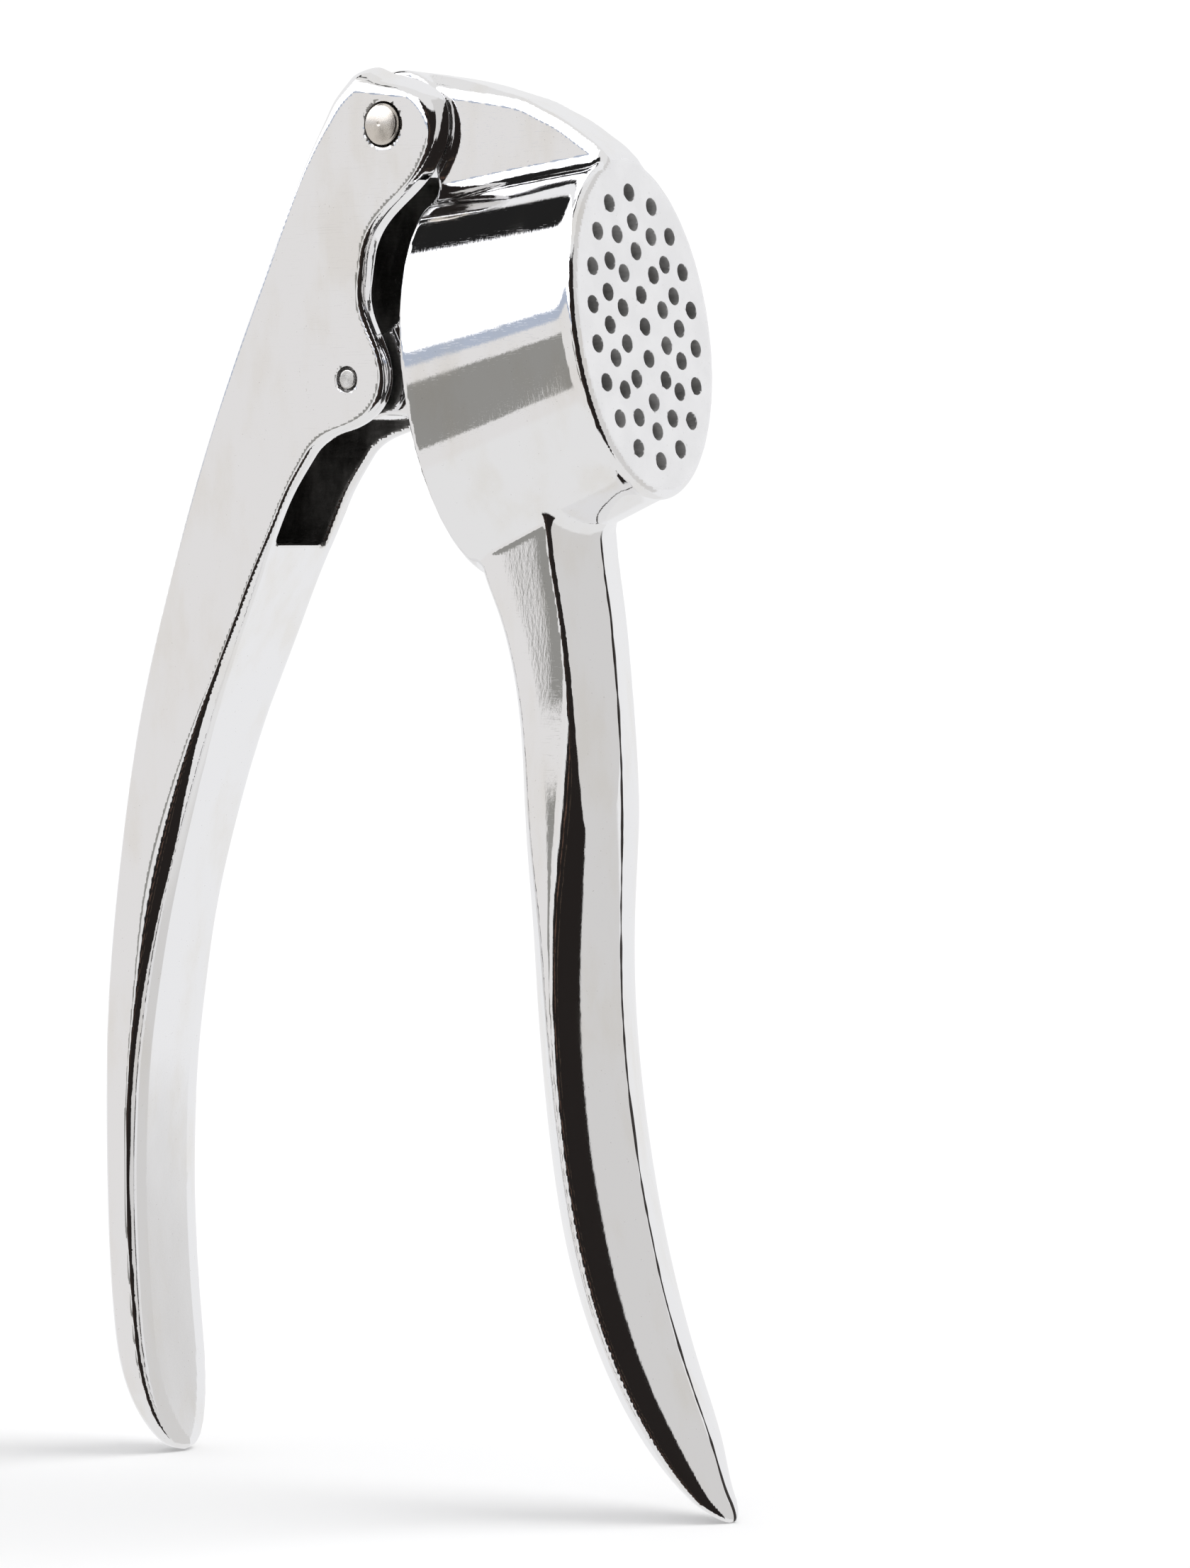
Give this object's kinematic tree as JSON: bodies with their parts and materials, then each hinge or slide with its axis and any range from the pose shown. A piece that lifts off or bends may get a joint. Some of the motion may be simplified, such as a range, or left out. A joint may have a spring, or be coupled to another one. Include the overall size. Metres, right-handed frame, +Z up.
{
  "type": "garlic press",
  "caption": "Hand garlic press: forked plunger lever and basket lever on one rivet; an oval piston on a cross pin presses cloves through a perforated oval barrel.",
  "frame": {"origin": "on the surface that the press stands on, under the middle of its bounding box, halfway between the two handle tips' outer edges and on the plane of symmetry", "axes": "+Z up, from the handle tips to the pivot; +X from the plunger lever towards the basket lever; Y along the pivot rivet, with Y = 0 the plane of symmetry"},
  "size_m": [0.102, 0.0332, 0.1903],
  "materials": {
    "chrome_basket": "mirror-polished chrome plate on a zinc casting, with a satin ground sieve face",
    "chrome_lever": "mirror-polished chrome plate on a zinc casting, with a dark as-cast slot",
    "chrome_plunger": "chrome plate on a casting, less polished than the levers",
    "rivet_nickel": "satin nickel-plated rivet with a domed head",
    "pin_steel": "ground steel pin"
  },
  "bodies": {
    "basket": {"basket_lever": "chrome_basket"},
    "rivet": {"pivot_rivet": "rivet_nickel"},
    "lever": {"plunger_lever": "chrome_lever", "plunger_pin": "pin_steel"},
    "piston": {"plunger": "chrome_plunger"}
  },
  "joints": [
    {"name": "lever_open", "type": "hinge", "parent": "basket", "child": "rivet", "pos_m": [0.00022, 0, 0.1818], "axis": [0, 1, 0], "range_deg": [0, 95]},
    {"name": "lever_press", "type": "hinge", "parent": "rivet", "child": "lever", "pos_m": [0.00022, 0, 0.1818], "axis": [0, -1, 0], "range_deg": [0, 22]},
    {"name": "plunger_swing", "type": "hinge", "parent": "lever", "child": "piston", "pos_m": [-0.00688, 0, 0.1484], "axis": [0, -1, 0], "range_deg": [-22, 0]}
  ],
  "couplings": [
    {"joint": "plunger_swing", "follows": "lever_press", "ratio": -1}
  ]
}
